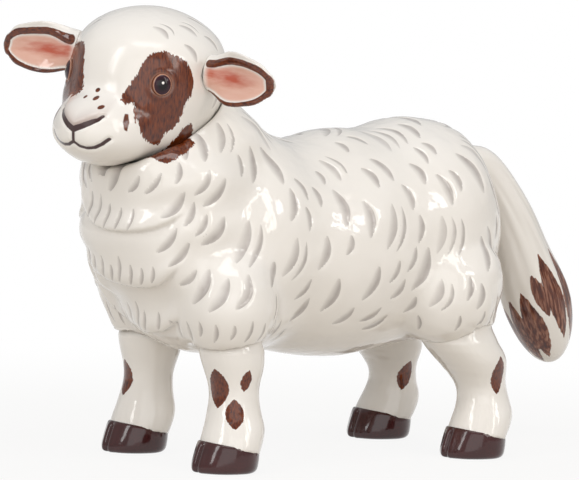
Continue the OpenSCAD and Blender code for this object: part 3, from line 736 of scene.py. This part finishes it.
# Painted highlight: a white dot a little above the dome's middle, standing in for a lamp's reflection
painted_highlight = add(tree, "MapRange", {
    "Value": from_skin(tree, "off_painted_highlight"), "From Min": 0.6, "From Max": 0.45,
}).outputs[0]
with_painted_highlight = add(tree, "Mix", {0: painted_highlight, 6: ringed, 7: srgb("#fbf7f2")}, data_type="RGBA").outputs[2]
tree.links.new(with_painted_highlight, shader.inputs["Base Color"])
for node, way, place in zip(("left_eye", "right_eye"), eye_ways, eye_seats):
    bead = ball((0, 0, 0), bead_half_sizes)
    bead.name = node + "_bead"
    bpy.ops.object.mode_set(mode="EDIT")
    bpy.ops.mesh.select_all(action="SELECT")
    bpy.ops.mesh.bisect(plane_co=(0, 0, 0), plane_no=(0, 0, 1), use_fill=True, clear_inner=True)
    bpy.ops.mesh.extrude_region_move(TRANSFORM_OT_translate={"value": (0, 0, -bead_stem * mm)})
    bpy.ops.mesh.select_all(action="SELECT")
    bpy.ops.mesh.normals_make_consistent(inside=False)
    bpy.ops.object.mode_set(mode="OBJECT")
    select_only(bead)
    bpy.ops.object.shade_smooth_by_angle(angle=radians(40))
    points = points_of(bead)
    keep_on_skin(bead, "off_axis", np.hypot(points[:, 0], points[:, 1] * 0.87))
    # Distance from the middle of the painted highlight, a little above the dome's middle
    keep_on_skin(bead, "off_painted_highlight", np.hypot(points[:, 0], points[:, 1] - 0.8))
    level = Vector((0, 0, 1)).cross(way).normalized()
    axes = Matrix((level, way.cross(level), way)).transposed().to_4x4()
    seat = Matrix.Translation((Vector(place) - way * bead_sunk) * mm)
    bead.data.transform(head_frame @ seat @ axes)
    bead.data.materials.append(bead_resin)
    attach(bead, "root")
    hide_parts(node)

# Ears: two leaf-shaped resin castings on spigots, hollowed towards the face, white behind.
# Inside they are washed pink with a red streak, and a brown rim is drawn round the hollow.
ear_length, ear_half_height, ear_root_half_height, ear_widest = 36.5, 11, 7, 0.43
ear_tip_bulge, ear_tip_taper = 1.9, 0.8
ear_way, ear_flat_far, ear_root = Vector((0.987087, -0.156339, -0.0349)), 30.71, Vector((0, 4, 8.5))
ear_seat = ear_way * ear_flat_far + ear_root
ear_turn = Matrix.Rotation(radians(-9), 4, "Z") @ Matrix.Rotation(radians(92), 4, "Y")
# Painted resin: glossy white behind, a pink wash that deepens to red along the middle inside
ear_resin, tree, shader, spot, white = lacquered_resin("painted_resin_ear")
hairs, brown = brown_paint(tree, spot, 1.6, 0.8)
along_ear = add(tree, "Mapping", {"Vector": spot, "Scale": [0.25, 0.25, 1]}).outputs[0]
pink_drift = add(tree, "TexNoise", {
    "Vector": along_ear, "Scale": 1 / (1.8 * mm), "Detail": 3,
}).outputs["Fac"]
pink = add(tree, "Mix", {
    0: pink_drift, 6: srgb("#e8c0af"), 7: srgb("#daa591"),
}, data_type="RGBA").outputs[2]
inside = from_skin(tree, "pink")
skin_colour = add(tree, "Mix", {0: inside, 6: white, 7: pink}, data_type="RGBA").outputs[2]
streak = from_skin(tree, "streak")
streak = add(tree, "Math", {0: streak, 1: pink_drift}, operation="MULTIPLY").outputs[0]
streak = add(tree, "MapRange", {"Value": streak, "From Min": 0.04, "From Max": 0.55}).outputs[0]
red = srgb("#bf5a42")
skin_colour = add(tree, "Mix", {0: streak, 6: skin_colour, 7: red}, data_type="RGBA").outputs[2]
skin_colour = painted(tree, from_skin(tree, "rim"), hairs, 0.15, brown, skin_colour)
tree.links.new(skin_colour, shader.inputs["Base Color"])
for node, side in (("left_ear", 1), ("right_ear", -1)):
    ear = casting(node + "_skin", node, 0.45, 10)
    flip = Matrix.Diagonal((side, 1, 1, 1))
    seat = head_turn @ flip @ Matrix.Translation(ear_seat) @ ear_turn
    back = np.array((Matrix.Translation(head_centre) @ seat).inverted())
    points = points_of(ear) @ back[:3, :3].T + back[:3, 3]
    facing = normals_of(ear) @ back[:3, :3].T
    height, along = -points[:, 0], points[:, 2]
    past = np.clip((along / ear_length - ear_widest) / (1 - ear_widest), 0, 1)
    opened = (1 - np.cos(pi * np.clip(along / ear_length / ear_widest, 0, 1))) / 2
    half_height = np.where(
        past > 0,
        ear_half_height * (1 - past**ear_tip_bulge) ** ear_tip_taper,
        ear_root_half_height + (ear_half_height - ear_root_half_height) * opened,
    )
    inward = np.minimum(half_height - abs(height), (ear_length - along) * 0.75)
    hollow_side = facing[:, 1] < 0.1
    upper = 1 / (1 + np.exp(-(height + 0.5) / 0.8))
    reach = along / ear_length
    white_edge = upper * np.interp(reach, [0, 0.15, 0.45, 0.8, 1], [1.6, 2.4, 2.6, 1.2, 0.3])
    white_edge = white_edge + (1 - upper) * 0.3
    band = upper * np.interp(reach, [0, 0.3, 0.8, 1], [3.2, 3.1, 2.6, 2.4])
    band = band + (1 - upper) * np.interp(reach, [0.02, 0.2, 0.6, 1], [0.3, 1.1, 1.5, 2.4])
    off_band = inward - white_edge - band / 2
    rim = band / 2 - np.hypot(off_band, np.maximum(0, 2.6 - along))
    keep_on_skin(ear, "rim", np.where(hollow_side, rim, -2))
    into_hollow = off_band - band / 2
    root_fade = np.clip((along - 0.5) / 3, 0, 1)
    keep_on_skin(ear, "pink", hollow_side * np.clip((into_hollow - 0.3) / 0.9, 0, 1) * root_fade)
    middle = swell(height, -0.2, 3) * np.clip((31 - along) / 16, 0, 1) * root_fade
    keep_on_skin(ear, "streak", hollow_side * middle)
    roll = 0.6 * np.clip(1 - (off_band / (band / 2 + 0.3)) ** 2, 0, 1) * hollow_side * root_fade
    tip = smooth_step(reach, 0.6, 1)
    raised = 0.35 * tip * height + 0.7 * height * swell(ear_length - along, 0.8, 1.6)
    if side < 0:
        raised += 1.6 * smooth_step(height, 0, 6) * smooth_step(reach, 0.6, 0.1)
        raised += 1.5 * smooth_step(-height, 0, 6) * smooth_step(reach, 0.1, 0.5)
    shorter = (1.8 if side > 0 else 2.8) * tip
    blunter = np.column_stack([-raised, np.zeros(len(tip)), -shorter]) @ back[:3, :3]
    move_points(ear, points_of(ear) + normals_of(ear) * roll[:, None] + blunter)
    ear.data.materials.append(ear_resin)
    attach(ear, "root")
    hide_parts(node)

# Tail: one resin casting that bends down from its spigot and swells to a blunt end.
# Its wool is combed in long shallow furrows, and brown strokes are brushed up from the tip.
tail_bends = np.array([
    (0, 77.836, 118.573), (0, 90.709, 120.382), (0, 109.503, 78.224), (0, 124.336, 32.573),
])
tail_strokes = [
    # degrees round from the lamb's left towards the rear at top and bottom, start and end above
    # the tip, width
    (-8, 6, 52, 12, 8.8), (-33, -20, 45, 24, 6), (38, 36, 51, 8, 9), (-58, -40, 38, 5, 9.2),
    (-85, -72, 35, 2, 8.2), (-110, -112, 30, 3, 8), (80, 70, 48, 11, 9), (110, 104, 45, 8, 8.5),
    (142, 136, 49, 12, 9), (172, 168, 42, 9, 8.5), (204, 202, 36, 6, 9.5), (230, 226, 32, 4, 8.5),
]
tail = casting("tail_skin", "tail", 0.7, 70)
points, normals = points_of(tail), normals_of(tail)
steps = np.linspace(0, 1, 400)[:, None]
path = (
    (1 - steps) ** 3 * tail_bends[0] + 3 * steps * (1 - steps) ** 2 * tail_bends[1]
    + 3 * steps**2 * (1 - steps) * tail_bends[2] + steps**3 * tail_bends[3]
)
lengths = np.concatenate([[0], np.cumsum(np.linalg.norm(np.diff(path, axis=0), axis=1))])
heading = np.gradient(path, axis=0)
heading = heading / np.linalg.norm(heading, axis=1)[:, None]
nearest = np.array([np.argmin(np.sum((path - p) ** 2, axis=1)) for p in points])
offset = points - path[nearest]
rearward = np.column_stack([np.zeros(len(points)), -heading[nearest, 2], heading[nearest, 1]])
bearing = np.degrees(np.arctan2(np.sum(offset * rearward, axis=1), offset[:, 0]))
radius = np.linalg.norm(offset, axis=1)
past_end = np.where(nearest == len(path) - 1, -np.sum(offset * heading[-1], axis=1), 0)
above_tip = lengths[-1] - lengths[nearest] + past_end
furrow = np.sin(np.radians(bearing) * 9 + 1.5 * np.sin(above_tip / 11))
furrow = furrow + 0.6 * np.sin(np.radians(bearing) * 16 + above_tip / 17)
fade = np.clip((above_tip - 6) / 20, 0, 1) * np.clip((lengths[nearest] - 4) / 20, 0, 1)
slim = 2.4 * smooth_step(0.57 * abs(normals[:, 0]) + 0.82 * normals[:, 1], 0.3, 0.95)
slim *= swell(above_tip, 50, 16)
move_points(tail, points + normals * (0.12 * furrow * fade - slim)[:, None])
stroke = np.full(len(points), -9.0)
for top_turn, low_turn, start, end, width in tail_strokes:
    share = (above_tip - end) / (start - end) * 2 - 1
    off_line = (bearing - low_turn - (top_turn - low_turn) * (share + 1) / 2 + 180) % 360 - 180
    beside = np.radians(off_line) * np.maximum(radius, 5)
    blade = width / 2 * (1 - abs(share) ** 2) - abs(beside)
    past = np.maximum(abs(share) - 1, 0) * (start - end) / 2
    blade = np.where(past > 0, -np.hypot(past, beside), blade)
    stroke = np.maximum(stroke, blade)
keep_on_skin(tail, "stroke", stroke)
keep_on_skin(tail, "furrow", furrow * fade)
hug(fleece_body, tail, 4)
# Painted resin: faint shade in the furrows, brown strokes worn pale along the brush's hairs
tail_resin, tree, shader, spot, white = lacquered_resin("painted_resin_tail")
hairs, brown = brown_paint(tree, spot, 1, 9, 18)
low = add(tree, "MapRange", {
    "Value": from_skin(tree, "furrow"), "From Min": 0.2, "From Max": -1.3, "To Max": 0.16,
}).outputs[0]
skin_colour = add(tree, "Mix", {0: low, 6: white, 7: srgb("#b4aa9c")}, data_type="RGBA").outputs[2]
worn = add(tree, "MapRange", {
    "Value": hairs, "From Min": 0.47, "From Max": 0.68, "To Max": 0.75,
}).outputs[0]
brown = add(tree, "Mix", {0: worn, 6: brown, 7: srgb("#a87c66")}, data_type="RGBA").outputs[2]
skin_colour = painted(tree, from_skin(tree, "stroke"), hairs, 0.8, brown, skin_colour)
tree.links.new(skin_colour, shader.inputs["Base Color"])
tail.data.materials.append(tail_resin)
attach(tail, "root")
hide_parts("tail")

# Wool: gouge cuts all over the fleece, made once the head, legs and tail are seated in it.
# A lock's lower edge is fluted; elsewhere curved cuts lie singly and in twos and threes.
cuff_centres = [(30.5, -63.8, 66), (-30.5, -63.8, 66)]
thigh_centres = [(29, 47.2, 68), (-29, 47.2, 68)]
leg_tops = [(29.5, -60.8), (-29.5, -60.8), (28, 53.2), (-28, 53.2)]
tail_seat = (0, 70.9, 117.6)
cut_depth, flute_depth = 0.9, 0.8
all_tries, large_tries = 30000, 14000
shoulder_cuts = [
    # degrees round the chest from its front, height, degrees the wall leans down, half length,
    # width
    (35, 91.5, 38, 7, 3.8), (40.3, 86.3, 38, 7, 3.8), (37.7, 105.4, 42, 7.2, 4.8),
    (56.5, 95, 42, 7.8, 5.4), (67, 107.6, 16, 7.4, 5.4), (50.4, 114.7, 34, 6.4, 3.8),
    (44.3, 116.3, 34, 5, 3.4), (51, 74, 22, 8.2, 5.2), (59.6, 71, 28, 8.2, 5.2),
    (71.3, 72.4, 26, 8.2, 5.4), (92.4, 66, 10, 5.6, 3.8), (20.8, 113.4, 36, 5, 3),
    (29, 114, 38, 6.2, 3),
]
flank_cuts = [
    # place along the body, height, degrees the wall leans down, half length, width, strokes
    (-38.8, 106.2, 10, 7.2, 5, 1), (-18.7, 116.2, -15, 4, 3.4, 1), (-24.3, 109.2, -10, 5, 3.8, 1),
    (3.5, 116.6, -30, 6, 4.6, 1), (27.5, 117.8, -25, 6, 4.6, 1), (19.5, 108.5, -15, 6.2, 4.6, 1),
    (37, 127.4, -35, 4.5, 3.6, 1), (-1.5, 127.7, -30, 4.5, 3.6, 1), (43.7, 115, -20, 5.5, 4.4, 1),
    (-2.3, 100.4, -5, 8.3, 5.2, 1), (12.9, 95.4, 14, 10, 4.8, 2), (42.5, 91.5, 8, 8.2, 4.6, 3),
    (0.2, 73.3, 20, 8.3, 5, 1), (-17.4, 68.7, 20, 8.5, 5, 1), (-8.9, 59.5, 42, 6, 4.2, 1),
    (7.7, 56, 50, 6.5, 4.2, 1), (-35.8, 83.3, 20, 8.8, 4.8, 2), (-23.6, 86.4, 15, 7.5, 4.8, 1),
    (-12.4, 89.5, 15, 4.5, 3.6, 1), (-49.9, 78.4, 20, 6, 4.2, 1), (13.9, 70.3, 32, 5.5, 4.2, 1),
    (34.5, 67, 22, 6.6, 4.4, 2), (22.6, 63.6, 30, 4.6, 3.8, 1), (49.2, 67.7, 10, 5.8, 4.2, 1),
    (54.9, 84.6, 10, 8.3, 4.8, 1), (-30.5, 63, 32, 6.5, 4.6, 1),
]
bpy.context.view_layer.update()
cuts = []
chance = np.random.default_rng(11)
# The large cuts over the shoulders and along the flanks
for turn, height, lean, long, wide in shoulder_cuts:
    for side in (1, -1):
        place, outward = on_skin(fleece_body, (0, chest_axis, height), way_round(side * turn))
        cuts.append((place, outward, wool_way(outward, side, lean), long, wide, cut_depth, 1))
for along, height, lean, long, wide, strokes in flank_cuts:
    for side in (1, -1):
        place, outward = on_skin(fleece_body, (0, along, height), (side, 0, 0))
        cuts.append((place, outward, wool_way(outward, side, lean), long, wide, cut_depth, strokes))
# Flutes along the lower edge of each lock of the bib, each cuff and each thigh
for turns, heights in hems:
    for turn in np.arange(turns[0] + 5, turns[-1] - 2, 5.9):
        turn = turn + chance.uniform(-0.3, 0.3)
        climb = np.interp(turn + 2, turns, heights) - np.interp(turn - 2, turns, heights)
        if abs(climb) > 2.2:
            continue
        long = 5.6 * chance.uniform(0.75, 1.25)
        height = np.interp(turn, turns, heights) + 0.95 * long
        place, outward = on_skin(fleece_body, (0, chest_axis, height), way_round(turn))
        cuts.append((place, outward, wool_way(outward, 1, 12), long, 2.2, flute_depth, 1))
for centre in cuff_centres + thigh_centres:
    side = 1 if centre[0] > 0 else -1
    for turn in np.arange(-30, 211, 12):
        turn = turn + chance.uniform(-0.8, 0.8)
        way = (side * sin(radians(turn)), -cos(radians(turn)), -0.55 + 0.1 * chance.uniform(-1, 1))
        place, outward = on_skin(fleece_body, centre, way)
        if np.linalg.norm(place - centre) < 32:
            long = 5 * chance.uniform(0.75, 1.25)
            cuts.append((place, outward, wool_way(outward, side, 8), long, 2.3, flute_depth, 1))
# Scattered cuts over the rest, as even as a hand places them
points, normals = points_of(fleece_body), normals_of(fleece_body)
from_head = np.linalg.norm(seen_from_head(points) / skull_half_sizes, axis=1)
open_skin = (points[:, 2] > 56) & (normals[:, 2] > -0.85) & (from_head > 1.15)
for across, along in leg_tops:
    aside = points[:, :2] - (across, along)
    in_socket = (np.linalg.norm(aside, axis=1) < 18) & (np.sum(aside * normals[:, :2], axis=1) < 4)
    open_skin &= ~(in_socket & (points[:, 2] < 100))
open_skin &= np.linalg.norm(points - tail_seat, axis=1) > 14
turn = round_chest(points)
open_skin &= (turn < -70) | (turn > 40) | (points[:, 2] > 108)
places = np.array([cut[0] for cut in cuts])
halves = np.array([(cut[3], cut[4] * cut[6] / 2) for cut in cuts])
for tries, index in enumerate(chance.permutation(np.flatnonzero(open_skin))[:all_tries]):
    place, outward = points[index], normals[index]
    side = 1 if place[0] > 0 else -1
    lean = np.interp(outward[2], [-0.8, -0.3, 0.15, 0.7], [75, 30, 0, -35])
    lean += 22 * np.clip((-25 - place[1]) / 30, 0, 1)
    bulge = wool_way(outward, side, lean + chance.uniform(-8, 8))
    strokes = chance.choice((1, 2, 3), p=(0.5, 0.32, 0.18))
    size = chance.uniform(0.75, 1.15)
    if tries > large_tries:
        strokes, size = 1, chance.uniform(0.55, 0.75)
    long, wide = 9.2 * size, (5.6, 5, 4.7)[strokes - 1] * size
    deep = wide * strokes / 2
    apart = places - place
    along = abs(apart @ np.cross(outward, bulge)) < halves[:, 0] + 0.8 * long + 1.5
    beside = abs(apart @ bulge) < halves[:, 1] + deep + 2.2
    if np.any(along & beside & (abs(apart @ outward) < 14)):
        continue
    places = np.vstack([places, place])
    halves = np.vstack([halves, (0.8 * long, deep)])
    cuts.append((place + (deep - 0.4 * wide) * bulge, outward, bulge, long, wide, cut_depth, strokes))
carve(fleece_body, cuts)
ease(fleece_body, 0.4, 1)

# Table top and backdrop: one wide sheet of pale paper, laid flat under the ornament.
# It only carries the picture and is no piece of the ornament.
bpy.ops.object.select_all(action="DESELECT")
bpy.ops.mesh.primitive_plane_add(size=12)
floor = bpy.context.object
floor.name = "floor"
# Matt paper: it bleaches to white away from the ornament and keeps a soft shadow under it
floor_paper, tree, shader = start_material("pale_paper", {
    "Base Color": srgb("#cbc3b7"), "Roughness": 0.9,
})
rays = add(tree, "LightPath", {})
seen = add(tree, "Math", {
    0: rays.outputs["Is Camera Ray"], 1: rays.outputs["Is Glossy Ray"],
}, operation="MAXIMUM").outputs[0]
seen = add(tree, "Math", {
    0: seen, 1: rays.outputs["Is Transmission Ray"],
}, operation="MAXIMUM").outputs[0]
spot = add(tree, "TexCoord", {}).outputs["Object"]
far = add(tree, "VectorMath", {0: spot}, operation="LENGTH").outputs["Value"]
bleached = add(tree, "MapRange", {
    "Value": far, "From Min": 0.12, "From Max": 0.4, "To Min": 0.9, "To Max": 1,
}, interpolation_type="SMOOTHSTEP").outputs[0]
share = add(tree, "Math", {0: seen, 1: bleached}, operation="MULTIPLY").outputs[0]
glow = add(tree, "Emission", {"Color": srgb("#ffffff"), "Strength": 1})
sheet = add(tree, "MixShader", {0: share, 1: shader.outputs[0], 2: glow.outputs[0]})
tree.links.new(sheet.outputs[0], tree.nodes["Material Output"].inputs["Surface"])
floor.data.materials.append(floor_paper)

# Camera: level with the lamb's shoulders, ahead of its left side, far off with a long lens,
# and rolled a little, as the photograph was taken.
camera_turn, camera_rise, camera_roll, camera_away = 55, 5.1, 1.9, 2000
aim = Vector((-10.6, -6.3, 86.9))
sensor_width, picture_width, focal_pixels = 36, 579, 4878
back = way_round(camera_turn, camera_rise)
turned, rolled = radians(camera_turn), radians(camera_roll)
level = Vector((cos(turned), sin(turned), 0))
upright = back.cross(level)
right = level * cos(rolled) + upright * sin(rolled)
top = upright * cos(rolled) - level * sin(rolled)
lens = bpy.data.cameras.new("camera")
lens.sensor_width = sensor_width
lens.lens = focal_pixels / picture_width * sensor_width
camera = bpy.data.objects.new("camera", lens)
bpy.context.collection.objects.link(camera)
stand = Matrix.Translation((aim + back * camera_away) * mm)
camera.matrix_world = stand @ Matrix((right, top, back)).transposed().to_4x4()
bpy.context.scene.camera = camera

# Studio light: two tall soft boxes either side of the camera, a small one for the flank, a
# broad weak one behind the camera and one overhead.
lamps = [
    # name, degrees round from the camera, degrees up, metres away, width, height, watts, colour
    ("left_box", -40, 30, 1.5, 0.22, 1.1, 4.8, "#ffffff"),
    ("right_box", 46, 26, 1.5, 0.18, 1.0, 3.3, "#fffaf4"),
    ("flank_box", 60, 27, 1.5, 0.2, 0.3, 1.3, "#ffffff"),
    ("fill_box", 6, 6, 2.4, 2.2, 1.6, 12.5, "#ffffff"),
    ("top_box", 8, 66, 1.5, 0.9, 0.35, 3.5, "#ffffff"),
]
for name, round_camera, rise, away, width, height, watts, colour in lamps:
    light = bpy.data.lights.new(name, "AREA")
    light.shape = "RECTANGLE"
    light.size, light.size_y = width, height
    light.energy = watts
    light.color = srgb(colour)[:3]
    lamp = bpy.data.objects.new(name, light)
    bpy.context.collection.objects.link(lamp)
    way = way_round(camera_turn + round_camera, rise)
    lamp.location = aim * mm + way * away
    lamp.rotation_euler = way.to_track_quat("Z", "Y").to_euler()
world = bpy.data.worlds.new("studio")
bpy.context.scene.world = world
world.use_nodes = True
tree = world.node_tree
sky = tree.nodes["Background"]
sky.inputs["Color"].default_value = srgb("#ffffff")
rays = add(tree, "LightPath", {})
seen = add(tree, "Math", {
    0: rays.outputs["Is Camera Ray"], 1: rays.outputs["Is Transmission Ray"],
}, operation="MAXIMUM").outputs[0]
strength = add(tree, "MapRange", {"Value": seen, "To Min": 0.55, "To Max": 1}).outputs[0]
tree.links.new(strength, sky.inputs["Strength"])
bpy.context.scene.view_settings.view_transform = "Standard"
